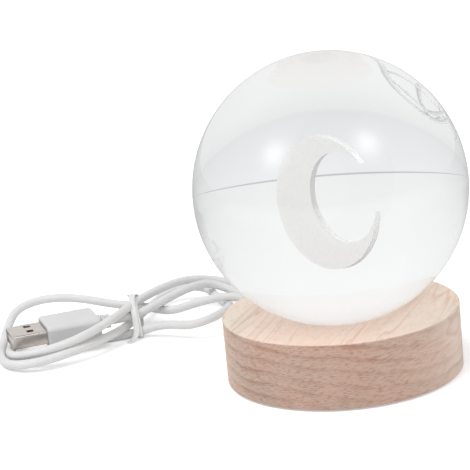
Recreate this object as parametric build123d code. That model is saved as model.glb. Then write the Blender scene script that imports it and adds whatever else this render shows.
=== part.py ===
from build123d import *
import math
import os

# Crystal ball night light: a glass ball engraved inside with a crescent moon rests on a turned
# wood base that lights it from below. A thin white cord leaves the back of the base and lies
# beside it as a tied hank that ends in its plug. Millimetres, +Z up, the table at z = 0, the
# origin under the middle of the base and the front towards -Y.

os.makedirs("parts", exist_ok=True)

# Glass ball
BALL_DIAMETER = 80.0
BALL_SINK = 3.8  # the ball's lowest point lies this far below the top of the base
SEAT_CLEARANCE = 0.2

# Crescent moon engraved inside the ball
MOON_OUTER_RADIUS = 13.0
MOON_HOLLOW_RADIUS = 9.2
MOON_HOLLOW_OFFSET = 4.35  # between the centres of the two circles
MOON_THICKNESS = 1.4
MOON_OPENING_ANGLE = 19.0  # the crescent opens this far above level
MOON_TURN = -48.0  # of its face about the vertical, from facing the front
MOON_SIDE_SHIFT = 0.5  # of the outer circle from the ball's middle
MOON_DROP = 2.4
MOON_FIT = 0.03  # between the mark and the clear glass round it

# Turned wood base
BASE_DIAMETER = 70.0
BASE_HEIGHT = 19.0
BASE_EDGE_BREAK = 0.4
LIGHT_HOLE_DIAMETER = 26.0
POCKET_DIAMETER = 48.0
POCKET_HEIGHT = 7.0  # from the cover up to the board's seat

# Diffuser cap over the light
LENS_DIAMETER = 31.6
LENS_HEIGHT = 3.0
LENS_PLATE = 1.5
LENS_SKIRT_WALL = 1.2
LENS_FIT = 0.2

# Light board and what is on it
BOARD_CLEARANCE = 2.0  # round the board in its pocket
BOARD_THICKNESS = 1.6
LED_COUNT = 6
LED_RING_RADIUS = 7.0
LED_LENGTH = 3.5
LED_WIDTH = 2.8
LED_HEIGHT = 0.8
RESISTOR_COUNT = 2
RESISTOR_LENGTH = 3.2
RESISTOR_WIDTH = 1.6
RESISTOR_HEIGHT = 0.6
RESISTOR_SPACING = 3.2
RESISTOR_RADIUS = 3.0  # from the middle of the board, on the side away from the cord
BOARD_SCREW_COUNT = 3
BOARD_SCREW_INSET = 3.0  # from the board's edge
BOARD_SCREW_DIAMETER = 2.0
BOARD_SCREW_HEAD_DIAMETER = 3.8
BOARD_SCREW_HEAD_HEIGHT = 1.3
BOARD_SCREW_GRIP = 5.0  # length in the wood
SCREW_FIT = 0.1
RECESS_SPAN_SHARE = 0.55  # of a screw head's diameter
RECESS_WIDTH = 0.6
RECESS_DEPTH = 0.9

# Bottom cover, its screws and the feet
COVER_DIAMETER = 60.0
COVER_THICKNESS = 2.0
COVER_FIT = 0.2
COVER_SCREW_COUNT = 4
COVER_SCREW_DIAMETER = 2.5
COVER_SCREW_LENGTH = 10.0
COVER_SCREW_HEAD_DIAMETER = 4.6
COVER_SCREW_HEAD_HEIGHT = 1.2
FOOT_COUNT = 4
FOOT_DIAMETER = 9.0
FOOT_HEIGHT = 0.6
FOOT_RING_RADIUS = 21.0
FOOT_EDGE = 0.15

# Cord and its way out of the base
CORD_DIAMETER = 2.8
CORD_HOLE_CLEARANCE = 0.3
CORD_EXIT_ANGLE = 111.0  # of the exit round the base, from +X
JACKET_END_RADIUS = 15.5  # the jacket is stripped back to here inside the base
STOP_LENGTH = 2.4
STOP_WALL = 0.9
STOP_FIT = 0.1
STOP_WALL_GAP = 0.1
STOP_HEAD_WIDTH = 3.4
STOP_HEAD_HEIGHT = 3.0
WIRE_DIAMETER = 1.2
WIRE_PITCH = 1.4  # between the two wires where they leave the jacket
WIRE_LEAD = 2.2  # straight run out of the jacket
WIRE_BEND_RADIUS = 1.2
SOLDER_RADIUS = 9.0  # of the joints from the middle of the board
SOLDER_PITCH = 3.6
SOLDER_DIAMETER = 2.2
SOLDER_HEIGHT = 0.8

# Cord on the table, from the base to the hank
LEAD_STRAIGHT = 7.0  # straight run out of the base
LEAD_ROUTE = [
    (-13.5, 53.0, 5.0),
    (-13.1, 66.0, 3.8),
    (-17.1, 77.9, 4.2),
    (-26.2, 86.7, 2.1),
    (-37.4, 88.7, 6.0),
    (-49.3, 86.3, 10.7),
    (-53.7, 69.0, 10.9),
]
LEAD_CORNER_SHARE = 0.45  # of the shorter run beside a corner, taken up by its arc

# Hank: the cord passes through the tie five times, with four loops between the passes. A loop
# leans to one side of the tie, reaches out and spreads to both sides of that line. Skew carries
# its outgoing side further out than its returning side, and sway bends it sideways.
PASSES = [
    (-62.4, 57.0, 10.1),
    (-63.7, 55.4, 2.35),
    (-60.0, 60.4, 5.8),
    (-64.1, 61.5, 9.1),
    (-60.2, 65.2, 2.2),
]
LOOPS = [
    {
        "lean": -153.4, "reach": 42.0, "spread": 15.3, "skew": 3.2, "sway": -5.4,
        "heights": (6.7, 1.8, 1.8),
    },
    {
        "lean": -3.9, "reach": 23.8, "spread": -20.8, "skew": 11.6, "sway": 21.4,
        "heights": (7.4, 2.9, 3.0),
    },
    {
        "lean": 185.6, "reach": 45.8, "spread": 28.0, "skew": 3.6, "sway": 1.8,
        "heights": (1.5, 2.1, 5.7),
    },
    {
        "lean": 38.5, "reach": 34.7, "spread": 15.5, "skew": 7.8, "sway": -22.8,
        "heights": (6.4, 1.9, 10.6),
    },
]
LOOP_STEPS = 6

# Measuring the least gap of the cord to itself
MEASURE_STEPS = 4  # points to a diameter of the cord
MEASURE_APART_STEPS = 20  # along the cord, between the points that are compared

# Twist tie round the hank
TIE_WIDTH = 2.8
TIE_THICKNESS = 0.5
TIE_CLEARANCE = 0.3
TIE_CORNER_RADIUS = 2.0
TIE_TAIL_LENGTH = 10.0
TIE_TAIL_THICKNESS = 0.9
TIE_TAIL_LIFT = 0.8  # of the tail's end above the table
TIE_STUB_LENGTH = 3.5
TIE_STUB_ANGLE = 50.0

# Plug: shell, tongue and moulded grip, lying flat with its wide side up
PLUG_TIP = (-103.7, 42.9, 6.85)  # middle of the shell's open end
PLUG_ANGLE = 16.6  # from the open end to the cord, from +X
SHELL_WIDTH = 12.0
SHELL_HEIGHT = 4.5
SHELL_LENGTH = 18.0
SHELL_EXPOSED = 11.2
SHELL_WALL = 0.35
SHELL_CORNER_RADIUS = 0.8
WINDOW_LENGTH = 2.2
WINDOW_WIDTH = 2.4
WINDOW_FROM_TIP = 5.2
WINDOW_SPACING = 5.4
TONGUE_HEIGHT = 1.9
TONGUE_FROM_TIP = 0.6
TONGUE_LENGTH = 9.0
TONGUE_FIT = 0.05
CONTACT_PITCHES = (-3.5, -1.0, 1.0, 3.5)
CONTACT_WIDTH = 1.0
CONTACT_THICKNESS = 0.15
CONTACT_FROM_TIP = 1.4
GRIP_WIDTH = 16.0
GRIP_HEIGHT = 7.4
GRIP_LENGTH = 17.4
GRIP_CORNER_RADIUS = 1.8
GRIP_END_ROUND = 0.8
GRIP_FIT = 0.05
RELIEF_LENGTH = 4.4
RELIEF_ROOT_DIAMETER = 5.4
RELIEF_TIP_DIAMETER = 4.4
RELIEF_GROOVE_WIDTH = 0.7
RELIEF_GROOVE_DEPTH = 0.5
RELIEF_GROOVE_COUNT = 2

# Heights and radii that follow from the sizes above
ball_radius = BALL_DIAMETER / 2
base_radius = BASE_DIAMETER / 2
base_bottom = FOOT_HEIGHT
base_top = base_bottom + BASE_HEIGHT
ball_center = base_top + ball_radius - BALL_SINK
seat_radius = ball_radius + SEAT_CLEARANCE
light_radius = LIGHT_HOLE_DIAMETER / 2
cover_top = base_bottom + COVER_THICKNESS
pocket_radius = POCKET_DIAMETER / 2
pocket_top = cover_top + POCKET_HEIGHT
board_bottom = pocket_top - BOARD_THICKNESS
board_radius = pocket_radius - BOARD_CLEARANCE
lens_radius = LENS_DIAMETER / 2
lens_ledge = pocket_top + LENS_HEIGHT
cord_radius = CORD_DIAMETER / 2
cord_level = (cover_top + board_bottom) / 2


def save(name, shape):
    """Write one piece to its own file."""
    export_step(shape, f"parts/{name}.step")


def ring_places(count, radius, height, first_angle):
    """Evenly spaced places on a ring round the base's axis."""
    return [
        Rot(Z=first_angle + 360 * step / count) * Pos(radius, 0, height)
        for step in range(count)
    ]


def towards_exit(shape):
    """Turn a shape made along +X to the direction in which the cord leaves the base."""
    return Rot(Z=CORD_EXIT_ANGLE) * shape


def radial_rod(radius, inner, outer, height):
    """Round rod along +X between two distances from the base's axis."""
    middle = (inner + outer) / 2
    return Pos(middle, 0, height) * Rot(Y=90) * Cylinder(radius, outer - inner)


def crescent(extra):
    """Crescent moon inside the ball, larger all round by the extra."""
    turn = math.radians(MOON_TURN)
    face = Plane(
        origin=(0, 0, ball_center),
        x_dir=(math.cos(turn), math.sin(turn), 0),
        z_dir=(math.sin(turn), -math.cos(turn), 0),
    )
    opening = math.radians(MOON_OPENING_ANGLE)
    hollow = Pos(MOON_HOLLOW_OFFSET * math.cos(opening), MOON_HOLLOW_OFFSET * math.sin(opening))
    outline = Circle(MOON_OUTER_RADIUS + extra) - hollow * Circle(MOON_HOLLOW_RADIUS - extra)
    outline = Pos(MOON_SIDE_SHIFT, -MOON_DROP) * outline
    return extrude(face * outline, MOON_THICKNESS / 2 + extra, both=True)


def countersunk_screw(extra):
    """Countersunk screw pointing up from z = 0, with its radii larger by the extra."""
    head_radius = COVER_SCREW_HEAD_DIAMETER / 2 + extra
    shank_radius = COVER_SCREW_DIAMETER / 2 + extra
    length = COVER_SCREW_LENGTH + extra
    head = Pos(Z=COVER_SCREW_HEAD_HEIGHT / 2) * Cone(head_radius, shank_radius, COVER_SCREW_HEAD_HEIGHT)
    shank_length = length - COVER_SCREW_HEAD_HEIGHT
    return head + Pos(Z=length - shank_length / 2) * Cylinder(shank_radius, shank_length)


def pan_screw(extra):
    """Pan-head screw whose head hangs below z = 0, with its radii larger by the extra."""
    shank_length = BOARD_THICKNESS + BOARD_SCREW_GRIP + extra
    shank = Pos(Z=shank_length / 2) * Cylinder(BOARD_SCREW_DIAMETER / 2 + extra, shank_length)
    head_height = BOARD_SCREW_HEAD_HEIGHT
    head = Pos(Z=-head_height / 2) * Cylinder(BOARD_SCREW_HEAD_DIAMETER / 2, head_height)
    rim = head.edges().group_by(Axis.Z)[0]
    return shank + fillet(rim, head_height / 2)


def cross_recess(head_diameter, face_height):
    """Cross-shaped recess that is cut up into a screw head from its face."""
    slot = Box(head_diameter * RECESS_SPAN_SHARE, RECESS_WIDTH, RECESS_DEPTH)
    return Pos(Z=face_height + RECESS_DEPTH / 2) * (slot + Rot(Z=90) * slot)


def wood_base():
    """Turned disc with a dished seat and light hole on top, and a pocket from below."""
    rebate_radius = COVER_DIAMETER / 2 + COVER_FIT
    lens_bore_radius = lens_radius + LENS_FIT
    seat_rim_angle = math.acos((ball_center - base_top) / seat_radius)
    seat_hole_angle = math.asin(light_radius / seat_radius)

    def on_seat(angle):
        return (seat_radius * math.sin(angle), ball_center - seat_radius * math.cos(angle))

    seat_arc = ThreePointArc(
        on_seat(seat_hole_angle),
        on_seat((seat_hole_angle + seat_rim_angle) / 2),
        on_seat(seat_rim_angle),
    )
    walls = Polyline(
        on_seat(seat_rim_angle),
        (base_radius - BASE_EDGE_BREAK, base_top),
        (base_radius, base_top - BASE_EDGE_BREAK),
        (base_radius, base_bottom + BASE_EDGE_BREAK),
        (base_radius - BASE_EDGE_BREAK, base_bottom),
        (rebate_radius, base_bottom),
        (rebate_radius, cover_top),
        (pocket_radius, cover_top),
        (pocket_radius, pocket_top),
        (lens_bore_radius, pocket_top),
        (lens_bore_radius, lens_ledge),
        (light_radius, lens_ledge),
        on_seat(seat_hole_angle),
    )
    base = revolve(make_face(Plane.XZ * (seat_arc + walls)), Axis.Z)
    cord_hole = radial_rod(
        cord_radius + CORD_HOLE_CLEARANCE,
        pocket_radius - STOP_LENGTH,
        base_radius + CORD_DIAMETER,
        cord_level,
    )
    base -= towards_exit(cord_hole)
    base -= [place * countersunk_screw(SCREW_FIT) for place in cover_screw_places()]
    base -= [place * pan_screw(SCREW_FIT) for place in board_screw_places()]
    return base


def cover_screw_places():
    """Screws of the bottom cover, half a step away from the cord."""
    first = CORD_EXIT_ANGLE + 180 / COVER_SCREW_COUNT
    ring_radius = (pocket_radius + COVER_DIAMETER / 2) / 2
    return ring_places(COVER_SCREW_COUNT, ring_radius, base_bottom, first)


def board_screw_places():
    """Screws of the light board, half a step away from the cord."""
    first = CORD_EXIT_ANGLE + 180 / BOARD_SCREW_COUNT
    return ring_places(BOARD_SCREW_COUNT, board_radius - BOARD_SCREW_INSET, board_bottom, first)


def board_screws():
    """Pan-head screws that hold the light board."""
    screw = pan_screw(0) - cross_recess(BOARD_SCREW_HEAD_DIAMETER, -BOARD_SCREW_HEAD_HEIGHT)
    return Part() + [place * screw for place in board_screw_places()]


def cover_screws():
    """Countersunk screws that hold the bottom cover."""
    screw = countersunk_screw(0) - cross_recess(COVER_SCREW_HEAD_DIAMETER, 0)
    return Part() + [place * screw for place in cover_screw_places()]


def diffuser_cap():
    """Shallow frosted cap that closes the light hole from below and stands on the board."""
    plate_bottom = lens_ledge - LENS_PLATE
    skirt_radius = lens_radius - LENS_SKIRT_WALL
    cap = Pos(Z=(pocket_top + lens_ledge) / 2) * Cylinder(lens_radius, LENS_HEIGHT)
    hollow = Cylinder(skirt_radius, plate_bottom - pocket_top)
    return cap - Pos(Z=(pocket_top + plate_bottom) / 2) * hollow


def led_board():
    """Round light board with its screw holes."""
    board = Pos(Z=pocket_top - BOARD_THICKNESS / 2) * Cylinder(board_radius, BOARD_THICKNESS)
    hole = Pos(Z=BOARD_THICKNESS / 2) * Cylinder(BOARD_SCREW_DIAMETER / 2 + SCREW_FIT, BOARD_THICKNESS)
    return board - [place * hole for place in board_screw_places()]


def leds():
    """Ring of small square lamps on top of the board."""
    chip = Box(LED_LENGTH, LED_WIDTH, LED_HEIGHT)
    places = ring_places(LED_COUNT, LED_RING_RADIUS, pocket_top + LED_HEIGHT / 2, CORD_EXIT_ANGLE)
    return Part() + [place * chip for place in places]


def resistors():
    """Row of chip resistors under the board, opposite the cord."""
    chip = Box(RESISTOR_LENGTH, RESISTOR_WIDTH, RESISTOR_HEIGHT)
    first = -(RESISTOR_COUNT - 1) / 2
    rows = [
        Pos(-RESISTOR_RADIUS, (first + step) * RESISTOR_SPACING, board_bottom - RESISTOR_HEIGHT / 2) * chip
        for step in range(RESISTOR_COUNT)
    ]
    return towards_exit(Part() + rows)


def solder_joints():
    """Two solder cones under the board, one for each wire."""
    cone = Cone(WIRE_DIAMETER / 2, SOLDER_DIAMETER / 2, SOLDER_HEIGHT)
    level = board_bottom - SOLDER_HEIGHT / 2
    pair = [Pos(SOLDER_RADIUS, side * SOLDER_PITCH / 2, level) * cone for side in (-1, 1)]
    return towards_exit(Part() + pair)


def wire(side):
    """One wire from the end of the jacket to its solder joint."""
    solder_place = (SOLDER_RADIUS, side * SOLDER_PITCH / 2)
    route = FilletPolyline(
        (JACKET_END_RADIUS, side * WIRE_PITCH / 2, cord_level),
        (JACKET_END_RADIUS - WIRE_LEAD, side * WIRE_PITCH / 2, cord_level),
        (*solder_place, cord_level),
        (*solder_place, board_bottom - SOLDER_HEIGHT),
        radius=WIRE_BEND_RADIUS,
    )
    return towards_exit(tube(route, WIRE_DIAMETER))


def cord_stop():
    """Small tie round the cord inside the pocket, which keeps it from being pulled out."""
    bore_radius = cord_radius + STOP_FIT
    ring_radius = bore_radius + STOP_WALL
    head_middle = bore_radius + STOP_HEAD_WIDTH / 2
    outer = math.sqrt(pocket_radius**2 - (bore_radius + STOP_HEAD_WIDTH) ** 2) - STOP_WALL_GAP
    inner = outer - STOP_LENGTH
    head = Box(STOP_LENGTH, STOP_HEAD_WIDTH, STOP_HEAD_HEIGHT)
    head = Pos((inner + outer) / 2, head_middle, cord_level) * head
    stop = radial_rod(ring_radius, inner, outer, cord_level) + head
    return towards_exit(stop - radial_rod(bore_radius, inner, outer, cord_level))


def bottom_cover():
    """Flat disc let into the underside, with countersunk screw holes."""
    cover = Pos(Z=(base_bottom + cover_top) / 2) * Cylinder(COVER_DIAMETER / 2, COVER_THICKNESS)
    return cover - [place * countersunk_screw(SCREW_FIT) for place in cover_screw_places()]


def feet():
    """Round rubber feet under the cover, between its screws."""
    foot = Pos(Z=FOOT_HEIGHT / 2) * Cylinder(FOOT_DIAMETER / 2, FOOT_HEIGHT)
    foot = chamfer(foot.edges().group_by(Axis.Z)[0], FOOT_EDGE)
    places = ring_places(FOOT_COUNT, FOOT_RING_RADIUS, 0, CORD_EXIT_ANGLE)
    return Part() + [place * foot for place in places]


def tube(route, diameter):
    """Round tube along a route."""
    start = Plane(origin=route @ 0, z_dir=route % 0)
    return sweep(start * Circle(diameter / 2), path=route)


def lead_points():
    """Corners of the cord's route from the face of the base to the hank."""
    exit_point = Vector(base_radius, 0, cord_level).rotate(Axis.Z, CORD_EXIT_ANGLE)
    free_point = Vector(base_radius + LEAD_STRAIGHT, 0, cord_level).rotate(Axis.Z, CORD_EXIT_ANGLE)
    return [exit_point, free_point, *[Vector(*point) for point in LEAD_ROUTE]]


def lead_route():
    """Route of the free cord, with each corner as wide as its two runs allow."""
    points = lead_points()
    radii = []
    for before, corner, after in zip(points, points[1:], points[2:]):
        turn = math.radians((corner - before).get_angle(after - corner))
        shorter = min((corner - before).length, (after - corner).length)
        radii.append(LEAD_CORNER_SHARE * shorter / math.tan(turn / 2))
    print("cord_lead radii", [round(radius, 1) for radius in radii])
    return FilletPolyline(*points, radius=radii)


def loop_point(loop, share, first_pass, next_pass):
    """Point of a loop, a given share of the way from one pass of the tie to the next."""
    lean = math.radians(loop["lean"])
    ease = share * share * (3 - 2 * share)
    swing = math.sin(2 * math.pi * share)
    bow = math.sin(math.pi * share)
    out = loop["reach"] * bow + loop["skew"] * swing
    side = loop["spread"] * swing + loop["sway"] * bow * bow
    x = first_pass[0] + (next_pass[0] - first_pass[0]) * ease
    y = first_pass[1] + (next_pass[1] - first_pass[1]) * ease
    marks = [first_pass[2], *loop["heights"], next_pass[2]]
    mark = min(int(share * 4), 3)
    rise = (1 - math.cos(math.pi * (share * 4 - mark))) / 2
    return Vector(
        x + out * math.cos(lean) - side * math.sin(lean),
        y + out * math.sin(lean) + side * math.cos(lean),
        marks[mark] + (marks[mark + 1] - marks[mark]) * rise,
    )


def plug_plane():
    """Plane of the plug: x from its open end to the cord, z up, middle of the open end at 0."""
    angle = math.radians(PLUG_ANGLE)
    return Plane(origin=PLUG_TIP, x_dir=(math.cos(angle), math.sin(angle), 0), z_dir=(0, 0, 1))


def hank_points():
    """Points along the hank, from the free cord to the plug."""
    points = [Vector(*LEAD_ROUTE[-1]), Vector(*PASSES[0])]
    for loop, first_pass, next_pass in zip(LOOPS, PASSES, PASSES[1:]):
        for step in range(1, LOOP_STEPS + 1):
            points.append(loop_point(loop, step / LOOP_STEPS, first_pass, next_pass))
    plug_end = SHELL_EXPOSED + GRIP_LENGTH + RELIEF_LENGTH
    points.append(plug_plane().from_local_coords(Vector(plug_end + CORD_DIAMETER, 0, 0)))
    return points


def hank_route():
    """Route of the hank: pairs of tangent arcs from point to point, with straight ends."""
    points = hank_points()
    first_heading = (points[0] - Vector(*LEAD_ROUTE[-2])).normalized()
    points[0] += first_heading * CORD_DIAMETER
    headings = [first_heading]
    for before, point, after in zip(points, points[1:], points[2:]):
        step_in = point - before
        step_out = after - point
        ratio = step_out.length / step_in.length
        headings.append((step_in * ratio + step_out / ratio).normalized())
    headings.append(plug_plane().x_dir * -1)
    edges = [Edge.make_line(points[0] - first_heading * CORD_DIAMETER, points[0])]
    radii = []
    for start, heading, end, end_heading in zip(points, headings, points[1:], headings[1:]):
        span = end - start
        both = heading + end_heading
        bend = 1 - heading.dot(end_heading)
        lean = span.dot(both)
        reach = (math.sqrt(lean * lean + 2 * bend * span.dot(span)) - lean) / (2 * bend)
        meeting = (start + end + (heading - end_heading) * reach) * 0.5
        meeting_heading = (end - end_heading * reach) - (start + heading * reach)
        edges.append(Edge.make_tangent_arc(start, heading, meeting))
        edges.append(Edge.make_tangent_arc(meeting, meeting_heading.normalized(), end))
        radii += [edges[-2].radius, edges[-1].radius]
    edges.append(Edge.make_line(points[-1], points[-1] + headings[-1] * CORD_DIAMETER))
    print("cord_hank least radius", round(min(radii), 1))
    return Wire(edges)


def places_along(route):
    """Points along a route, closer together than the cord is thick."""
    count = round(MEASURE_STEPS * route.length / CORD_DIAMETER)
    return [route.position_at(step / count) for step in range(count + 1)]


def least_gap(places):
    """Least gap between stretches of a cord that lie some diameters apart along it."""
    return min(
        (place - other).length - CORD_DIAMETER
        for step, place in enumerate(places)
        for other in places[step + MEASURE_APART_STEPS:]
    )


def twist_tie(route):
    """Flat tie round the waist of the hank, with its tail in front and a stub on top."""
    tie_x = sum(place[0] for place in PASSES) / len(PASSES)
    held = []
    for place in places_along(route):
        beside = max(0, abs(place.X - tie_x) - TIE_WIDTH / 2)
        if beside < cord_radius:
            held.append((place, math.sqrt(cord_radius**2 - beside**2) + TIE_CLEARANCE))
    low_y = min(place.Y - room for place, room in held)
    high_y = max(place.Y + room for place, room in held)
    low_z = min(place.Z - room for place, room in held)
    high_z = max(place.Z + room for place, room in held)
    print("twist_tie underside", round(low_z - TIE_THICKNESS, 2))
    middle = (tie_x, (low_y + high_y) / 2, (low_z + high_z) / 2)
    face = Plane(origin=middle, x_dir=(0, 1, 0), z_dir=(1, 0, 0))
    width = high_y - low_y
    height = high_z - low_z
    band = RectangleRounded(
        width + 2 * TIE_THICKNESS,
        height + 2 * TIE_THICKNESS,
        TIE_CORNER_RADIUS + TIE_THICKNESS,
    )
    band -= RectangleRounded(width, height, TIE_CORNER_RADIUS)
    drop = math.degrees(math.asin((face.origin.Z - TIE_TAIL_LIFT) / TIE_TAIL_LENGTH))
    tail = Rectangle(TIE_TAIL_LENGTH, TIE_TAIL_THICKNESS, align=(Align.MIN, Align.CENTER))
    band += Pos(-(width + TIE_THICKNESS) / 2) * Rot(Z=180 + drop) * tail
    stub = Rectangle(TIE_STUB_LENGTH, TIE_THICKNESS, align=(Align.MIN, Align.CENTER))
    band += Pos(Y=(height + TIE_THICKNESS) / 2) * Rot(Z=TIE_STUB_ANGLE) * stub
    return extrude(face * band, TIE_WIDTH / 2, both=True)


def shell_outline(extra):
    """Rounded outline of the plug's shell, larger all round by the extra."""
    width = SHELL_WIDTH + 2 * extra
    height = SHELL_HEIGHT + 2 * extra
    return RectangleRounded(width, height, SHELL_CORNER_RADIUS + extra)


def along_plug(outline, start, end):
    """Solid along the plug's axis between two distances from its open end."""
    section = Plane(origin=(start, 0, 0), x_dir=(0, 1, 0), z_dir=(1, 0, 0))
    return extrude(section * outline, end - start)


def usb_shell():
    """Thin metal shell with its latch windows."""
    shell = along_plug(shell_outline(0) - shell_outline(-SHELL_WALL), 0, SHELL_LENGTH)
    window = Box(WINDOW_LENGTH, WINDOW_WIDTH, 2 * SHELL_HEIGHT)
    middle = WINDOW_FROM_TIP + WINDOW_LENGTH / 2
    return shell - [Pos(middle, side * WINDOW_SPACING / 2, 0) * window for side in (-1, 1)]


def tongue_top():
    """Height of the tongue's contact face above the plug's axis."""
    return -SHELL_HEIGHT / 2 + SHELL_WALL + TONGUE_FIT + TONGUE_HEIGHT


def usb_tongue():
    """Insulator: a block that fills the back of the shell and a tongue in its lower half."""
    block_start = TONGUE_FROM_TIP + TONGUE_LENGTH
    block = along_plug(shell_outline(-SHELL_WALL - TONGUE_FIT), block_start, SHELL_LENGTH)
    tongue = along_plug(shell_outline(-SHELL_WALL - TONGUE_FIT), TONGUE_FROM_TIP, block_start)
    above = Box(block_start, SHELL_WIDTH, SHELL_HEIGHT)
    above = Pos(block_start / 2, 0, tongue_top() + SHELL_HEIGHT / 2) * above
    return block + (tongue - above)


def usb_contacts():
    """Four contact strips on the tongue."""
    end = TONGUE_FROM_TIP + TONGUE_LENGTH
    strip = Box(end - CONTACT_FROM_TIP, CONTACT_WIDTH, CONTACT_THICKNESS)
    level = tongue_top() + CONTACT_THICKNESS / 2
    middle = (CONTACT_FROM_TIP + end) / 2
    return Part() + [Pos(middle, side, level) * strip for side in CONTACT_PITCHES]


def plug_grip():
    """Moulded grip round the back of the shell, with a grooved strain relief."""
    grip_end = SHELL_EXPOSED + GRIP_LENGTH
    outline = RectangleRounded(GRIP_WIDTH, GRIP_HEIGHT, GRIP_CORNER_RADIUS)
    grip = along_plug(outline, SHELL_EXPOSED, grip_end)
    ends = grip.edges().filter_by(GeomType.LINE).filter_by(Axis.X, reverse=True)
    arcs = grip.edges().filter_by(GeomType.CIRCLE)
    grip = fillet([*ends, *arcs], GRIP_END_ROUND)
    grip -= along_plug(shell_outline(GRIP_FIT), SHELL_EXPOSED, SHELL_LENGTH + GRIP_FIT)
    relief_end = grip_end + RELIEF_LENGTH
    relief = Cone(RELIEF_ROOT_DIAMETER / 2, RELIEF_TIP_DIAMETER / 2, RELIEF_LENGTH)
    relief = Pos((grip_end + relief_end) / 2, 0, 0) * Rot(Y=90) * relief
    for step in range(RELIEF_GROOVE_COUNT):
        middle = grip_end + RELIEF_LENGTH * (step + 1) / (RELIEF_GROOVE_COUNT + 1)
        groove = Cylinder(RELIEF_ROOT_DIAMETER, RELIEF_GROOVE_WIDTH)
        groove -= Cylinder(RELIEF_TIP_DIAMETER / 2 - RELIEF_GROOVE_DEPTH, RELIEF_GROOVE_WIDTH)
        relief -= Pos(middle, 0, 0) * Rot(Y=90) * groove
    return grip + relief


def main():
    moon = crescent(0)
    ball = Pos(Z=ball_center) * Sphere(ball_radius) - crescent(MOON_FIT)
    save("crystal_ball", ball)
    save("engraved_moon", moon)
    save("wood_base", wood_base())
    save("diffuser_cap", diffuser_cap())
    save("led_board", led_board())
    save("leds", leds())
    save("resistors", resistors())
    save("solder_joints", solder_joints())
    save("positive_wire", wire(1))
    save("negative_wire", wire(-1))
    save("board_screws", board_screws())
    save("bottom_cover", bottom_cover())
    save("cover_screws", cover_screws())
    save("rubber_feet", feet())
    save("cord_inside", towards_exit(radial_rod(cord_radius, JACKET_END_RADIUS, base_radius, cord_level)))
    save("cord_stop", cord_stop())

    lead = lead_route()
    lead_tube = tube(lead, CORD_DIAMETER)
    hank = hank_route()
    hank_tube = tube(hank, CORD_DIAMETER)
    section = math.pi * cord_radius**2
    for name, route, solid in (("cord_lead", lead, lead_tube), ("cord_hank", hank, hank_tube)):
        share = solid.volume / (route.length * section)
        print(name, "length", round(route.length, 1), "volume share", round(share, 4))
    gap = least_gap(places_along(lead) + places_along(hank)[1:])
    print("least gap of the cord to itself", round(gap, 2))
    save("cord_lead", lead_tube)
    save("cord_hank", hank_tube)
    save("twist_tie", twist_tie(hank))

    plug = plug_plane().location
    save("plug_grip", plug * plug_grip())
    save("usb_shell", plug * usb_shell())
    save("usb_tongue", plug * usb_tongue())
    save("usb_contacts", plug * usb_contacts())


main()
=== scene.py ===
import math

import bmesh
import bpy
from mathutils import Matrix, Vector


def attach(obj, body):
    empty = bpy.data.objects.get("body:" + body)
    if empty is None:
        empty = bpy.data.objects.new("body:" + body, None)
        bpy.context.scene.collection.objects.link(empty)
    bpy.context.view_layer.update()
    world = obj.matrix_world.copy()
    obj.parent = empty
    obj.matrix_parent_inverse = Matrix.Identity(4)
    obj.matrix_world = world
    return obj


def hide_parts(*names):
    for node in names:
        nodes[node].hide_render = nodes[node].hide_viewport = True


# Crystal ball night light: a clear glass ball with a crescent moon engraved inside it, on a pale
# turned wood base, with its white cord tied in a hank beside it. Metres, +Z up, front towards -Y.

MM = 0.001

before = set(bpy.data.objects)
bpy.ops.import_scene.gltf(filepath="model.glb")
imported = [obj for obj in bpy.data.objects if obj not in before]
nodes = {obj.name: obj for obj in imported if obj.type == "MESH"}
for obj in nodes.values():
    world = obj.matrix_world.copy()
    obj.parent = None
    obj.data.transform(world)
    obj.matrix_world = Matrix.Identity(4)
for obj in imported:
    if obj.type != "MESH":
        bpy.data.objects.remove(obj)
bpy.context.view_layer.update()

# Sizes of the real pieces
FOOT_HEIGHT = 0.6 * MM
FOOT_RADIUS = 4.5 * MM
FOOT_RING_RADIUS = 21.0 * MM
FOOT_COUNT = 4
BASE_RADIUS = 35.0 * MM
BASE_HEIGHT = 19.0 * MM
BASE_EDGE = 0.4 * MM
LIGHT_HOLE_RADIUS = 13.0 * MM
LENS_BORE_RADIUS = 16.0 * MM
LENS_HEIGHT = 3.0 * MM
POCKET_RADIUS = 24.0 * MM
POCKET_HEIGHT = 7.0 * MM
COVER_REBATE_RADIUS = 30.2 * MM
COVER_THICKNESS = 2.0 * MM
COVER_SCREW_COUNT = 4
COVER_SCREW_RING_RADIUS = 27.0 * MM
BOARD_THICKNESS = 1.6 * MM
BOARD_SCREW_COUNT = 3
BOARD_SCREW_RING_RADIUS = 19.0 * MM
BALL_RADIUS = 40.0 * MM
BALL_SINK = 3.8 * MM
SEAT_CLEARANCE = 0.2 * MM
CORD_DIAMETER = 2.8 * MM
CORD_HOLE_RADIUS = 1.7 * MM
CORD_EXIT_ANGLE = math.radians(111)
PLUG_ANGLE = math.radians(16.6)
base_top = FOOT_HEIGHT + BASE_HEIGHT
ball_center = base_top + BALL_RADIUS - BALL_SINK
cover_top = FOOT_HEIGHT + COVER_THICKNESS
pocket_top = cover_top + POCKET_HEIGHT
board_bottom = pocket_top - BOARD_THICKNESS
cord_level = (cover_top + board_bottom) / 2

# Fineness of the meshes
FINE_STEPS = 192  # round the ball and the base
DRILL_STEPS = 48
SCREW_STEPS = 48
FOOT_STEPS = 64
MOON_STEPS = 96
BALL_ROWS = 96
SEAT_ROWS = 12
CORNER_ROWS = 4
MERGE_DISTANCE = 0.002 * MM

# A Mix node with these settings multiplies two colours.
MULTIPLY = {"data_type": "RGBA", "blend_type": "MULTIPLY"}


# Small helpers


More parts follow.
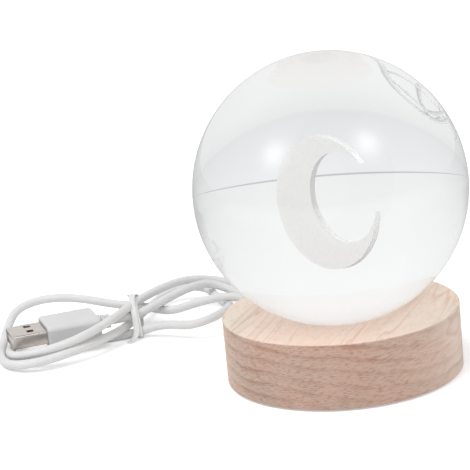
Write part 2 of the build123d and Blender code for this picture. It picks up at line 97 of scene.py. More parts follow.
def linear(hex_colour):
    """An sRGB hex colour as linear red, green, blue and alpha."""
    channels = [int(hex_colour[place:place + 2], 16) / 255 for place in (1, 3, 5)]
    return (*[c / 12.92 if c <= 0.04045 else ((c + 0.055) / 1.055) ** 2.4 for c in channels], 1.0)


def add(tree, kind, inputs=None, settings=None, stops=None, out=0):
    """Add a node with its settings, colour stops and set or linked inputs; gives one output."""
    node = tree.nodes.new(kind)
    for name, value in (settings or {}).items():
        setattr(node, name, value)
    for name, value in (inputs or {}).items():
        if isinstance(value, bpy.types.NodeSocket):
            tree.links.new(value, node.inputs[name])
        else:
            node.inputs[name].default_value = value
    if stops:
        elements = node.color_ramp.elements
        while len(elements) < len(stops):
            elements.new(0.5)
        for element, (place, colour) in zip(elements, stops):
            element.position = place
            element.color = linear(colour)
    return node.outputs[out] if node.outputs else None


def new_material(name):
    """An empty material and its node tree."""
    material = bpy.data.materials.new(name)
    material.use_nodes = True
    material.node_tree.nodes.clear()
    return material, material.node_tree


def finished_mesh(name, form, sharp_angle=None):
    """Turn a bmesh into a mesh with smooth faces that meet sharply beyond an angle."""
    for face in form.faces:
        face.smooth = True
    mesh = bpy.data.meshes.new(name)
    form.to_mesh(mesh)
    form.free()
    if sharp_angle:
        mesh.set_sharp_from_angle(angle=math.radians(sharp_angle))
    return mesh


def new_piece(name, mesh, materials, body, replaced):
    """A finished mesh as a piece that moves with a body and stands for a CAD node."""
    piece = bpy.data.objects.new(name, mesh)
    bpy.context.collection.objects.link(piece)
    if mesh.materials:
        mesh.materials.clear()
    for material in materials:
        mesh.materials.append(material)
    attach(piece, body)
    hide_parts(replaced)
    return piece


def smooth_copy(node_name, name, sharp_angle):
    """A CAD node's form with its doubles merged and its rounded faces shaded smooth."""
    form = bmesh.new()
    form.from_mesh(nodes[node_name].data)
    bmesh.ops.remove_doubles(form, verts=form.verts, dist=MERGE_DISTANCE)
    for face in form.faces:
        face.material_index = 0
    return finished_mesh(name, form, sharp_angle)


def turned_form(profile, steps, closed):
    """Skin and rings of a lathe profile of (radius, height) points; a closed profile is a loop."""
    form = bmesh.new()
    angles = [2 * math.pi * step / steps for step in range(steps)]
    rings = []
    for radius, height in profile:
        places = [(radius * math.cos(a), radius * math.sin(a), height) for a in angles]
        rings.append([form.verts.new(place) for place in places])
    follows = rings[1:] + rings[:1] if closed else rings[1:]
    for ring, after in zip(rings, follows):
        for step in range(steps):
            follow = (step + 1) % steps
            form.faces.new([ring[step], ring[follow], after[follow], after[step]])
    return form, rings


def rounded_corner(radius, height, corner, first, last):
    """Points of a lathe profile round a corner's centre, between two angles in quarter turns."""
    turns = [first + (last - first) * row / CORNER_ROWS for row in range(CORNER_ROWS + 1)]
    angles = [math.pi / 2 * turn for turn in turns]
    return [(radius + corner * math.cos(a), height + corner * math.sin(a)) for a in angles]


# Materials


def polished_crystal_glass():
    """Crystal glass, ground and polished: colourless and sharp, with faint wiping marks."""
    material, tree = new_material("polished_crystal_glass")
    place = add(tree, "ShaderNodeTexCoord", out="Object")
    wiped = add(
        tree, "ShaderNodeMapping",
        {"Vector": place, "Scale": (1.0, 1.0, 0.35), "Rotation": (0.4, 0.2, 0.0)},
    )
    marks = add(
        tree, "ShaderNodeTexNoise", {"Vector": wiped, "Scale": 1 / (14 * MM), "Detail": 4.0}
    )
    gloss = add(
        tree, "ShaderNodeMapRange",
        {"Value": marks, "From Min": 0.55, "From Max": 0.85, "To Min": 0.0, "To Max": 0.01},
    )
    shader = add(
        tree, "ShaderNodeBsdfPrincipled",
        {
            "Base Color": linear("#FDFEFE"),
            "Roughness": gloss,
            "IOR": 1.52,
            "Transmission Weight": 1.0,
        },
    )
    add(tree, "ShaderNodeOutputMaterial", {"Surface": shader})
    return material


def laser_frost(name, cover, glow, dark, light):
    """Laser-engraved frost: fine white dots in clear glass, which scatter light and pass some.

    The glow stands for light that the glass round the dots brings to them.
    """
    material, tree = new_material(name)
    place = add(tree, "ShaderNodeTexCoord", out="Object")
    # The real dots are under 0.1 mm, so they are drawn in 0.6 mm clusters that can still show.
    dots = add(
        tree, "ShaderNodeTexNoise", {"Vector": place, "Scale": 1 / (0.6 * MM), "Detail": 3.0}
    )
    tone = add(tree, "ShaderNodeValToRGB", {"Fac": dots}, stops=[(0.35, dark), (0.65, light)])
    shader = add(
        tree, "ShaderNodeBsdfPrincipled",
        {
            "Base Color": tone,
            "Roughness": 0.9,
            "Specular IOR Level": 0.0,
            "Alpha": cover,
            "Emission Color": tone,
            "Emission Strength": glow,
        },
    )
    add(tree, "ShaderNodeOutputMaterial", {"Surface": shader})
    return material


def turned_beech():
    """Pale turned wood with a matt wax: soft growth rings, fine fibres and pores, darker ends."""
    material, tree = new_material("turned_pale_beech")
    grain_angle = math.radians(70)
    ring_spacing = 3.6 * MM
    ring_sway = 7 * MM
    pith = (0.0, -34 * MM, 160 * MM)
    place = add(tree, "ShaderNodeTexCoord", out="Object")
    # Along the grain is local X, which runs mostly from front to back and rises a little.
    grain = add(
        tree, "ShaderNodeMapping",
        {"Vector": place, "Rotation": (math.radians(-4), math.radians(5), -grain_angle)},
    )
    drawn = add(tree, "ShaderNodeMapping", {"Vector": grain, "Scale": (0.15, 1.0, 1.0)})
    sway = add(tree, "ShaderNodeTexNoise", {"Vector": drawn, "Scale": 1 / (26 * MM), "Detail": 3.0})
    # Growth rings round a pith that lies far below the base.
    centred = add(tree, "ShaderNodeMapping", {"Vector": drawn, "Location": pith})
    across = add(
        tree, "ShaderNodeVectorMath", {0: centred, 1: (0.0, 1.0, 1.0)}, {"operation": "MULTIPLY"}
    )
    distance = add(tree, "ShaderNodeVectorMath", {0: across}, {"operation": "LENGTH"}, out="Value")
    bent = add(
        tree, "ShaderNodeMath", {0: sway, 1: ring_sway, 2: distance}, {"operation": "MULTIPLY_ADD"}
    )
    turns = add(tree, "ShaderNodeMath", {0: bent, 1: ring_spacing}, {"operation": "DIVIDE"})
    phase = add(tree, "ShaderNodeMath", {0: turns}, {"operation": "FRACT"})
    rings = add(
        tree, "ShaderNodeValToRGB", {"Fac": phase},
        stops=[
            (0.0, "#FFFFFF"),
            (0.5, "#FAF5F1"),
            (0.74, "#E6D6CC"),
            (0.82, "#DCC8BD"),
            (0.92, "#F5EDE8"),
        ],
    )
    # Rings fade in and out, as they do in plain-sawn stock.
    patches = add(
        tree, "ShaderNodeTexNoise", {"Vector": drawn, "Scale": 1 / (11 * MM), "Detail": 2.0}
    )
    shown = add(
        tree, "ShaderNodeMapRange",
        {"Value": patches, "From Min": 0.35, "From Max": 0.7, "To Min": 0.15, "To Max": 1.0},
    )
    # End grain, at the front and the back, drinks more wax and is darker and redder.
    facing = add(tree, "ShaderNodeTexCoord", out="Normal")
    along = (math.cos(grain_angle), math.sin(grain_angle), 0.0)
    ends = add(
        tree, "ShaderNodeVectorMath", {0: facing, 1: along}, {"operation": "DOT_PRODUCT"},
        out="Value",
    )
    ends = add(tree, "ShaderNodeMath", {0: ends}, {"operation": "ABSOLUTE"})
    body = add(
        tree, "ShaderNodeValToRGB", {"Fac": ends},
        stops=[(0.12, "#F1E3D8"), (0.5, "#DDC8BC"), (0.9, "#CBB4A9")],
    )
    warm = add(tree, "ShaderNodeTexNoise", {"Vector": drawn, "Scale": 1 / (16 * MM), "Detail": 1.0})
    tint = add(
        tree, "ShaderNodeValToRGB", {"Fac": warm}, stops=[(0.35, "#FFF6F1"), (0.65, "#F5F6F3")]
    )
    tinted = add(tree, "ShaderNodeMix", {0: 1.0, 6: body, 7: tint}, MULTIPLY, out=2)
    across_grain = add(
        tree, "ShaderNodeMapRange",
        {"Value": ends, "From Min": 0.1, "From Max": 0.7, "To Min": 0.15, "To Max": 1.0},
    )
    shown = add(tree, "ShaderNodeMath", {0: shown, 1: across_grain}, {"operation": "MULTIPLY"})
    ringed = add(tree, "ShaderNodeMix", {0: shown, 6: tinted, 7: rings}, MULTIPLY, out=2)
    # Thin darker lines that run with the grain where the wood is cut flat, as on the top.
    run = add(tree, "ShaderNodeMapping", {"Vector": grain, "Scale": (0.06, 1.0, 0.6)})
    wander = add(tree, "ShaderNodeTexNoise", {"Vector": run, "Scale": 1 / (9 * MM), "Detail": 2.0})
    lines = add(
        tree, "ShaderNodeValToRGB", {"Fac": wander},
        stops=[
            (0.38, "#FBF6F2"),
            (0.41, "#F2E6DE"),
            (0.43, "#FFFFFF"),
            (0.5, "#FBF5F1"),
            (0.52, "#E6D2C6"),
            (0.535, "#FFFFFF"),
            (0.6, "#F8F0EA"),
            (0.62, "#EEDFD5"),
            (0.64, "#FFFFFF"),
        ],
    )
    flat = add(
        tree, "ShaderNodeMapRange",
        {"Value": ends, "From Min": 0.1, "From Max": 0.5, "To Min": 0.7, "To Max": 0.0},
    )
    ringed = add(tree, "ShaderNodeMix", {0: flat, 6: ringed, 7: lines}, MULTIPLY, out=2)
    # Fibres and pores: threads along the grain that show as short flecks where they are cut across.
    threads = add(tree, "ShaderNodeMapping", {"Vector": grain, "Scale": (0.05, 0.26, 1.3)})
    fibre = add(
        tree, "ShaderNodeTexNoise",
        {"Vector": threads, "Scale": 1 / (0.4 * MM), "Detail": 3.0, "Roughness": 0.6},
    )
    pores = add(
        tree, "ShaderNodeValToRGB", {"Fac": fibre},
        stops=[(0.3, "#CDB7AC"), (0.46, "#F5EFEB"), (0.6, "#FFFFFF")],
    )
    cut = add(
        tree, "ShaderNodeMapRange",
        {"Value": ends, "From Min": 0.1, "From Max": 0.7, "To Min": 0.22, "To Max": 0.85},
    )
    finished = add(tree, "ShaderNodeMix", {0: cut, 6: ringed, 7: pores}, MULTIPLY, out=2)
    relief = add(tree, "ShaderNodeBump", {"Strength": 0.3, "Distance": 0.05 * MM, "Height": fibre})
    gloss = add(
        tree, "ShaderNodeMapRange",
        {"Value": fibre, "From Min": 0.3, "From Max": 0.7, "To Min": 0.62, "To Max": 0.5},
    )
    shader = add(
        tree, "ShaderNodeBsdfPrincipled",
        {"Base Color": finished, "Roughness": gloss, "Specular IOR Level": 0.35, "Normal": relief},
    )
    add(tree, "ShaderNodeOutputMaterial", {"Surface": shader})
    return material


def moulded_plastic(name, colour, shade, roughness):
    """Moulded plastic: even colour, slightly cloudy, with a fine texture from the mould."""
    material, tree = new_material(name)
    place = add(tree, "ShaderNodeTexCoord", out="Object")
    cloud = add(tree, "ShaderNodeTexNoise", {"Vector": place, "Scale": 1 / (9 * MM), "Detail": 2.0})
    tone = add(tree, "ShaderNodeValToRGB", {"Fac": cloud}, stops=[(0.3, shade), (0.7, colour)])
    grit = add(
        tree, "ShaderNodeTexNoise", {"Vector": place, "Scale": 1 / (0.25 * MM), "Detail": 2.0}
    )
    relief = add(tree, "ShaderNodeBump", {"Strength": 0.08, "Distance": 0.02 * MM, "Height": grit})
    shader = add(
        tree, "ShaderNodeBsdfPrincipled",
        {"Base Color": tone, "Roughness": roughness, "Normal": relief},
    )
    add(tree, "ShaderNodeOutputMaterial", {"Surface": shader})
    return material


def plated_metal(name, colour, shade, roughness):
    """Plated sheet metal: bright, with faint drawing marks along the plug."""
    material, tree = new_material(name)
    place = add(tree, "ShaderNodeTexCoord", out="Object")
    drawn = add(
        tree, "ShaderNodeMapping",
        {"Vector": place, "Rotation": (0.0, 0.0, -PLUG_ANGLE), "Scale": (0.08, 1.0, 1.0)},
    )
    marks = add(
        tree, "ShaderNodeTexNoise", {"Vector": drawn, "Scale": 1 / (0.4 * MM), "Detail": 3.0}
    )
    tone = add(tree, "ShaderNodeValToRGB", {"Fac": marks}, stops=[(0.3, shade), (0.7, colour)])
    shader = add(
        tree, "ShaderNodeBsdfPrincipled",
        {"Base Color": tone, "Metallic": 1.0, "Roughness": roughness},
    )
    add(tree, "ShaderNodeOutputMaterial", {"Surface": shader})
    return material


crystal = polished_crystal_glass()
moon_face = laser_frost("frosted_engraving", 0.94, 0.09, "#ECECEB", "#F0F0F0")
moon_wall = laser_frost("frosted_engraving_edge", 0.4, 0.12, "#EAEBEC", "#F0F1F2")
beech = turned_beech()
cord_pvc = moulded_plastic("white_soft_pvc", "#E2E2E2", "#DCDCDC", 0.45)
plug_pvc = moulded_plastic("white_moulded_pvc", "#D9D9D9", "#D3D3D3", 0.42)
tie_plastic = moulded_plastic("white_tie_strip", "#E6E6E6", "#DFDFDF", 0.5)
milky_pc = moulded_plastic("milky_diffuser_plastic", "#F6F3EC", "#EFEBE2", 0.6)
board_lacquer = moulded_plastic("white_board_lacquer", "#EFF1F0", "#E6E9E8", 0.4)
lamp_resin = moulded_plastic("lamp_phosphor_resin", "#F3E6A6", "#EBDA90", 0.3)
black_abs = moulded_plastic("black_abs", "#1D1D1E", "#161617", 0.5)
red_pvc = moulded_plastic("red_wire_pvc", "#B3201C", "#A01A17", 0.4)
foot_rubber = moulded_plastic("pale_foot_rubber", "#DAD9D6", "#CFCECB", 0.8)
nickel = plated_metal("nickel_plated_steel", "#DDD5D0", "#CBC2BC", 0.24)
zinc = plated_metal("zinc_plated_steel", "#C9CBCE", "#B4B6BA", 0.35)
solder = plated_metal("bright_solder", "#D2D4D6", "#BFC1C4", 0.3)
gold = plated_metal("gold_plated_contact", "#E3BE6C", "#D0A853", 0.25)

for name, material in {
    "diffuser_cap": milky_pc,
    "led_board": board_lacquer,
    "leds": lamp_resin,
    "resistors": black_abs,
    "solder_joints": solder,
    "positive_wire": red_pvc,
    "negative_wire": black_abs,
    "bottom_cover": black_abs,
    "cord_inside": cord_pvc,
    "cord_stop": plug_pvc,
    "usb_tongue": plug_pvc,
    "usb_contacts": gold,
}.items():
    nodes[name].data.materials.clear()
    nodes[name].data.materials.append(material)


# Node trees for what repeats and for what follows a line


def tree_with_inputs(name, sockets):
    """A geometry node tree with one geometry out and named inputs."""
    tree = bpy.data.node_groups.new(name, "GeometryNodeTree")
    tree.interface.new_socket("Result", in_out="OUTPUT", socket_type="NodeSocketGeometry")
    for socket, kind in sockets.items():
        tree.interface.new_socket(socket, in_out="INPUT", socket_type=f"NodeSocket{kind}")
    return tree, tree.nodes.new("NodeGroupInput").outputs


def copies_on_a_ring():
    """Tree that sets copies of one form on a ring round the base's axis, each turned outwards."""
    tree, given = tree_with_inputs(
        "copies_on_a_ring",
        {
            "Form": "Geometry",
            "Count": "Int",
            "Ring Radius": "Float",
            "Level": "Float",
            "First Angle": "Float",
            "Finish": "Material",
        },
    )
    step = add(tree, "ShaderNodeMath", {0: 2 * math.pi, 1: given["Count"]}, {"operation": "DIVIDE"})
    index = add(tree, "GeometryNodeInputIndex")
    turn = add(
        tree, "ShaderNodeMath", {0: index, 1: step, 2: given["First Angle"]},
        {"operation": "MULTIPLY_ADD"},
    )
    heading = add(tree, "ShaderNodeCombineXYZ", {"Z": turn})
    side = add(tree, "ShaderNodeMath", {0: turn}, {"operation": "COSINE"})
    ahead = add(tree, "ShaderNodeMath", {0: turn}, {"operation": "SINE"})
    outward = add(tree, "ShaderNodeCombineXYZ", {"X": side, "Y": ahead})
    raised = add(tree, "ShaderNodeCombineXYZ", {"Z": given["Level"]})
    place = add(
        tree, "ShaderNodeVectorMath", {0: outward, 1: given["Ring Radius"], 2: raised},
        {"operation": "MULTIPLY_ADD"},
    )
    points = add(tree, "GeometryNodePoints", {"Count": given["Count"], "Position": place})
    copies = add(
        tree, "GeometryNodeInstanceOnPoints",
        {"Points": points, "Instance": given["Form"], "Rotation": heading},
    )
    whole = add(tree, "GeometryNodeRealizeInstances", {"Geometry": copies})
    finish = add(tree, "GeometryNodeSetMaterial", {"Geometry": whole, "Material": given["Finish"]})
    add(tree, "NodeGroupOutput", {0: finish})
    return tree


def strip_along_a_line():
    """Tree that lays a flat strip with rounded edges along a line, flat side outwards."""
    tree, given = tree_with_inputs(
        "strip_along_a_line",
        {
            "Line": "Geometry",
            "Width": "Float",
            "Thickness": "Float",
            "Step": "Float",
            "Flat Across": "Vector",
            "Finish": "Material",
        },
    )
    line = add(tree, "GeometryNodeMeshToCurve", {"Mesh": given["Line"]})
    line = add(tree, "GeometryNodeCurveSplineType", {"Curve": line}, {"spline_type": "CATMULL_ROM"})
    line = add(
        tree, "GeometryNodeResampleCurve", {"Curve": line, "Length": given["Step"]},
        {"mode": "LENGTH"},
    )
    line = add(
        tree, "GeometryNodeSetCurveNormal", {"Curve": line, "Normal": given["Flat Across"]},
        {"mode": "FREE"},
    )
    section = add(
        tree, "GeometryNodeCurvePrimitiveQuadrilateral",
        {"Width": given["Width"], "Height": given["Thickness"]},
    )
    rounding = 0.4  # of the strip's thickness
    edge = add(
        tree, "ShaderNodeMath", {0: given["Thickness"], 1: rounding}, {"operation": "MULTIPLY"}
    )
    section = add(
        tree, "GeometryNodeFilletCurve", {"Curve": section, "Count": 3, "Radius": edge},
        {"mode": "POLY"},
    )
    strip = add(
        tree, "GeometryNodeCurveToMesh",
        {"Curve": line, "Profile Curve": section, "Fill Caps": True},
    )
    whole = add(tree, "GeometryNodeRealizeInstances", {"Geometry": strip})
    finish = add(tree, "GeometryNodeSetMaterial", {"Geometry": whole, "Material": given["Finish"]})
    add(tree, "NodeGroupOutput", {0: finish})
    return tree


def grown_mesh(name, start, tree, values):
    """The plain mesh that a node tree makes from a start mesh, with the tree's inputs set."""
    carrier = bpy.data.objects.new(name, start)
    bpy.context.collection.objects.link(carrier)
    modifier = carrier.modifiers.new(name, "NODES")
    modifier.node_group = tree
    for socket in tree.interface.items_tree:
        if socket.name in values:
            modifier[socket.identifier] = values[socket.name]
    ready = carrier.evaluated_get(bpy.context.evaluated_depsgraph_get())
    mesh = bpy.data.meshes.new_from_object(ready)
    bpy.data.objects.remove(carrier)
    mesh.name = name
    return mesh


ring_tree = copies_on_a_ring()
strip_tree = strip_along_a_line()


# Glass ball and the moon engraved in it


def glass_ball():
    """Polished ball, turned from a fine half circle."""
    profile = []
    for row in range(1, BALL_ROWS):
        angle = math.pi * row / BALL_ROWS
        profile.append((BALL_RADIUS * math.sin(angle), ball_center - BALL_RADIUS * math.cos(angle)))
    form, rings = turned_form(profile, FINE_STEPS, False)
    for ring, side in ((rings[0], -1), (rings[-1], 1)):
        pole = form.verts.new((0, 0, ball_center + side * BALL_RADIUS))
        for step, vert in enumerate(ring):
            form.faces.new([vert, ring[step - 1], pole])
    bmesh.ops.recalc_face_normals(form, faces=form.faces)
    mesh = finished_mesh("glass_ball", form)
    ball = new_piece("glass_ball", mesh, [crystal], "ball", "crystal_ball")
    ball.visible_shadow = False  # clear glass passes the light on to the wood


MOON_OUTER_RADIUS = 13.0 * MM
MOON_HOLLOW_RADIUS = 9.2 * MM
MOON_HOLLOW_OFFSET = 4.35 * MM
MOON_THICKNESS = 1.4 * MM
MOON_OPENING = math.radians(19)
MOON_TURN = math.radians(-48)
MOON_SIDE_SHIFT = 0.5 * MM
MOON_DROP = 2.4 * MM


def crescent_moon():
    """Crescent between two circles, with frosted faces and a sparser wall round them."""
    squares = MOON_OUTER_RADIUS**2 - MOON_HOLLOW_RADIUS**2 + MOON_HOLLOW_OFFSET**2
    meet = squares / (2 * MOON_HOLLOW_OFFSET)  # how far along their line the circles cross
    outer_half = math.acos(meet / MOON_OUTER_RADIUS)
    hollow_half = math.acos((meet - MOON_HOLLOW_OFFSET) / MOON_HOLLOW_RADIUS)
    across = Vector((math.cos(MOON_TURN), math.sin(MOON_TURN), 0))
    normal = Vector((math.sin(MOON_TURN), -math.cos(MOON_TURN), 0))
    up = Vector((0, 0, 1))
    centre = Vector((0, 0, ball_center)) + across * MOON_SIDE_SHIFT - up * MOON_DROP

    def on_face(radius, offset, angle, depth):
        side = offset * math.cos(MOON_OPENING) + radius * math.cos(MOON_OPENING + angle)
        high = offset * math.sin(MOON_OPENING) + radius * math.sin(MOON_OPENING + angle)
        return centre + across * side + up * high + normal * depth

    form = bmesh.new()
    rows = []
    for depth in (MOON_THICKNESS / 2, -MOON_THICKNESS / 2):
        outer = []
        inner = []
        for step in range(MOON_STEPS + 1):
            share = step / MOON_STEPS
            outer_angle = outer_half + 2 * (math.pi - outer_half) * share
            hollow_angle = hollow_half + 2 * (math.pi - hollow_half) * share
            outer.append(form.verts.new(on_face(MOON_OUTER_RADIUS, 0, outer_angle, depth)))
            if 0 < step < MOON_STEPS:
                place = on_face(MOON_HOLLOW_RADIUS, MOON_HOLLOW_OFFSET, hollow_angle, depth)
                inner.append(form.verts.new(place))
            else:
                inner.append(outer[-1])
        rows.append((outer, inner))
    for step in range(MOON_STEPS):
        for outer, inner in rows:
            corners = [outer[step], outer[step + 1], inner[step + 1], inner[step]]
            form.faces.new(list(dict.fromkeys(corners)))
        for front, back in zip(*rows):
            wall = form.faces.new([front[step], front[step + 1], back[step + 1], back[step]])
            wall.material_index = 1
    bmesh.ops.recalc_face_normals(form, faces=form.faces)
    mesh = finished_mesh("crescent_moon", form, 30)
    frost = [moon_face, moon_wall]
    new_piece("crescent_moon", mesh, frost, "ball", "engraved_moon")


glass_ball()
crescent_moon()


# Turned wood base, and the screws and feet under it


def turned_base():
    """Base turned from its profile, with softened edges, and its cord hole drilled at the back."""
    seat_radius = BALL_RADIUS + SEAT_CLEARANCE
    rim = math.acos((ball_center - base_top) / seat_radius)
    hole = math.asin(LIGHT_HOLE_RADIUS / seat_radius)
    lens_ledge = pocket_top + LENS_HEIGHT
    profile = []
    for row in range(SEAT_ROWS + 1):
        angle = hole + (rim - hole) * row / SEAT_ROWS
        profile.append((seat_radius * math.sin(angle), ball_center - seat_radius * math.cos(angle)))
    inset = BASE_RADIUS - BASE_EDGE
    profile += rounded_corner(inset, base_top - BASE_EDGE, BASE_EDGE, 1, 0)
    profile += rounded_corner(inset, FOOT_HEIGHT + BASE_EDGE, BASE_EDGE, 0, -1)
    profile += [
        (COVER_REBATE_RADIUS, FOOT_HEIGHT),
        (COVER_REBATE_RADIUS, cover_top),
        (POCKET_RADIUS, cover_top),
        (POCKET_RADIUS, pocket_top),
        (LENS_BORE_RADIUS, pocket_top),
        (LENS_BORE_RADIUS, lens_ledge),
        (LIGHT_HOLE_RADIUS, lens_ledge),
    ]
    form, _ = turned_form(profile, FINE_STEPS, True)
    bmesh.ops.recalc_face_normals(form, faces=form.faces)
    spare = 1 * MM
    reach = (POCKET_RADIUS - spare, BASE_RADIUS + spare)
    drill, drill_ends = turned_form([(CORD_HOLE_RADIUS, far) for far in reach], DRILL_STEPS, False)
    for end in drill_ends:
        drill.faces.new(end)
    bmesh.ops.recalc_face_normals(drill, faces=drill.faces)
    aim = Matrix.Translation((0, 0, cord_level)) @ Matrix.Rotation(CORD_EXIT_ANGLE, 4, "Z")
    bmesh.ops.transform(drill, matrix=aim @ Matrix.Rotation(math.pi / 2, 4, "Y"), verts=drill.verts)
    blank = bpy.data.objects.new("base_blank", finished_mesh("base_blank", form))
    cutter = bpy.data.objects.new("cord_drill", finished_mesh("cord_drill", drill))
    for thing in (blank, cutter):
        bpy.context.collection.objects.link(thing)
    drilled = blank.modifiers.new("cord_hole", "BOOLEAN")
    drilled.object = cutter
    drilled.solver = "EXACT"
    ready = blank.evaluated_get(bpy.context.evaluated_depsgraph_get())
    mesh = bpy.data.meshes.new_from_object(ready)
    mesh.name = "turned_base"
    mesh.set_sharp_from_angle(angle=math.radians(30))
    for thing in (blank, cutter):
        bpy.data.objects.remove(thing)
    new_piece("turned_base", mesh, [beech], "base", "wood_base")


RECESS_WIDTH = 0.6 * MM
RECESS_DEPTH = 0.9 * MM
RECESS_TAPER = 0.8


def cross_head_screw(rows, recess_span):
    """Screw from its (radius, height) rows, face first, with a tapered cross recess in its face."""
    form, rings = turned_form(rows, SCREW_STEPS, False)
    form.faces.new(rings[-1])
    face_height = rows[0][1]
    floor_height = face_height + RECESS_DEPTH
    half_span = recess_span / 2
    half_width = RECESS_WIDTH / 2
    outline = []
    for quarter in range(4):
        turn = Matrix.Rotation(quarter * math.pi / 2, 3, "Z")
        corners = ((half_span, -half_width), (half_span, half_width), (half_width, half_width))
        outline += [turn @ Vector((x, y, 0)) for x, y in corners]
    mouth = [form.verts.new((p.x, p.y, face_height)) for p in outline]
    floor = [form.verts.new((*(p.xy * RECESS_TAPER), floor_height)) for p in outline]
    for step in range(len(outline)):
        form.faces.new([mouth[step - 1], mouth[step], floor[step], floor[step - 1]])
    form.faces.new(floor)
    rim = []
    for ring in (rings[0], mouth):
        for step, vert in enumerate(ring):
            rim.append(form.edges.get((vert, ring[step - 1])))
    bmesh.ops.triangle_fill(form, use_beauty=True, edges=rim)
    bmesh.ops.recalc_face_normals(form, faces=form.faces)
    return finished_mesh("cross_head_screw", form, 30)


def threaded_rows(start, end, crest, root, pitch):
    """Rows of a thread's roots and crests between two heights."""
    rows = []
    for step in range(round((end - start) / pitch)):
        rows.append((root, start + (step + 0.25) * pitch))
        rows.append((crest, start + (step + 0.75) * pitch))
    return rows + [(root, end)]


def screw_ring(name, replaced, screw, count, ring_radius, level):
    """Screws of one kind on a ring, kept half a step clear of the cord."""
    values = {
        "Count": count,
        "Ring Radius": ring_radius,
        "Level": level,
        "First Angle": CORD_EXIT_ANGLE + math.pi / count,
        "Finish": zinc,
    }
    mesh = grown_mesh(name, screw, ring_tree, values)
    new_piece(name, mesh, [zinc], "base", replaced)


def cover_screw_set():
    """Countersunk screws of the bottom cover."""
    head_radius = 2.3 * MM
    head_depth = 1.2 * MM
    shank_radius = 1.25 * MM
    root_radius = 1.0 * MM
    pitch = 1.0 * MM
    thread_start = 3.0 * MM
    length = 10.0 * MM
    rows = [(head_radius, 0.0), (shank_radius, head_depth), (shank_radius, thread_start)]
    rows += threaded_rows(thread_start, length, shank_radius, root_radius, pitch)
    screw = cross_head_screw(rows, recess_span=2.5 * MM)
    screw_ring(
        "cover_screw_set", "cover_screws", screw,
        COVER_SCREW_COUNT, COVER_SCREW_RING_RADIUS, FOOT_HEIGHT,
    )


def board_screw_set():
    """Pan-head screws of the light board."""
    head_radius = 1.9 * MM
    head_corner = 0.65 * MM
    shank_radius = 1.0 * MM
    root_radius = 0.8 * MM
    pitch = 0.8 * MM
    thread_start = 1.8 * MM
    length = 6.6 * MM
    rows = rounded_corner(head_radius - head_corner, -head_corner, head_corner, -1, 0)
    rows += [(head_radius, 0.0), (shank_radius, 0.0), (shank_radius, thread_start)]
    rows += threaded_rows(thread_start, length, shank_radius, root_radius, pitch)
    screw = cross_head_screw(rows, recess_span=2.1 * MM)
    screw_ring(
        "board_screw_set", "board_screws", screw,
        BOARD_SCREW_COUNT, BOARD_SCREW_RING_RADIUS, board_bottom,
    )


def foot_pads():
    """Stick-on rubber feet with a softened edge and a shallow dish."""
    edge = 0.2 * MM
    dish = ((0.8, 0.0), (0.72, 0.1 * MM), (0.1, 0.12 * MM))  # share of the radius, and depth
    profile = [(FOOT_RADIUS, FOOT_HEIGHT)]
    profile += rounded_corner(FOOT_RADIUS - edge, edge, edge, 0, -1)
    profile += [(FOOT_RADIUS * share, depth) for share, depth in dish]
    form, rings = turned_form(profile, FOOT_STEPS, False)
    form.faces.new(rings[0])
    form.faces.new(rings[-1])
    bmesh.ops.recalc_face_normals(form, faces=form.faces)
    values = {
        "Count": FOOT_COUNT,
        "Ring Radius": FOOT_RING_RADIUS,
        "Level": 0.0,
        "First Angle": CORD_EXIT_ANGLE,
        "Finish": foot_rubber,
    }
    mesh = grown_mesh("foot_pads", finished_mesh("foot_pad", form, 50), ring_tree, values)
    new_piece("foot_pads", mesh, [foot_rubber], "base", "rubber_feet")


turned_base()
cover_screw_set()
board_screw_set()
foot_pads()


# Plug

grip_mesh = smooth_copy("plug_grip", "moulded_plug_grip", 40)
grip = new_piece("moulded_plug_grip", grip_mesh, [plug_pvc], "base", "plug_grip")
shell_mesh = smooth_copy("usb_shell", "plug_shell", 35)
shell = new_piece("plug_shell", shell_mesh, [nickel], "base", "usb_shell")


# Tie round the hank: one flat strip, wound from a stub on top round the bundle to a tail in front

TIE_WIDTH = 1.9 * MM
TIE_THICKNESS = 0.45 * MM
TIE_STEP = 0.4 * MM
# Millimetres
TIE_LINE = [
    (-65.3, 60.6, 12.6),
    (-64.9, 60.4, 12.1),
    (-64.4, 59.9, 11.5),
    (-64.0, 58.0, 10.9),
    (-63.6, 55.0, 9.3),
    (-63.2, 53.0, 7.2),
    (-62.9, 51.6, 4.6),
    (-62.6, 50.5, 2.4),
    (-62.5, 50.9, 0.9),
    (-62.5, 52.6, 0.35),
    (-62.6, 58.0, 0.35),
    (-62.8, 65.6, 0.35),
    (-62.9, 68.3, 1.6),
    (-63.0, 69.4, 4.6),
    (-63.1, 69.3, 7.2),
    (-63.3, 67.4, 9.4),
    (-63.7, 63.8, 11.4),
    (-64.2, 61.4, 12.0),
    (-64.5, 58.8, 11.9),
    (-64.3, 55.8, 10.6),
    (-63.9, 53.2, 8.2),
    (-63.6, 51.4, 5.4),
    (-63.5, 50.0, 3.2),
    (-64.0, 48.9, 1.8),
    (-65.0, 47.6, 1.0),
    (-66.0, 46.6, 0.7),
]


def wrapped_tie():
    """The tie, with its strip kept flat against the bundle."""
    form = bmesh.new()
    verts = [form.verts.new([value * MM for value in point]) for point in TIE_LINE]
    for before, after in zip(verts, verts[1:]):
        form.edges.new((before, after))
    values = {
        "Width": TIE_WIDTH,
        "Thickness": TIE_THICKNESS,
        "Step": TIE_STEP,
        "Flat Across": (1.0, 0.0, 0.0),
        "Finish": tie_plastic,
    }
    mesh = grown_mesh("wrapped_tie", finished_mesh("tie_line", form), strip_tree, values)
    mesh.shade_smooth()
    mesh.set_sharp_from_angle(angle=math.radians(50))
    return new_piece("wrapped_tie", mesh, [tie_plastic], "base", "twist_tie")


tie = wrapped_tie()


# Cord: from the back of the base along the table into the hank, and on to the plug

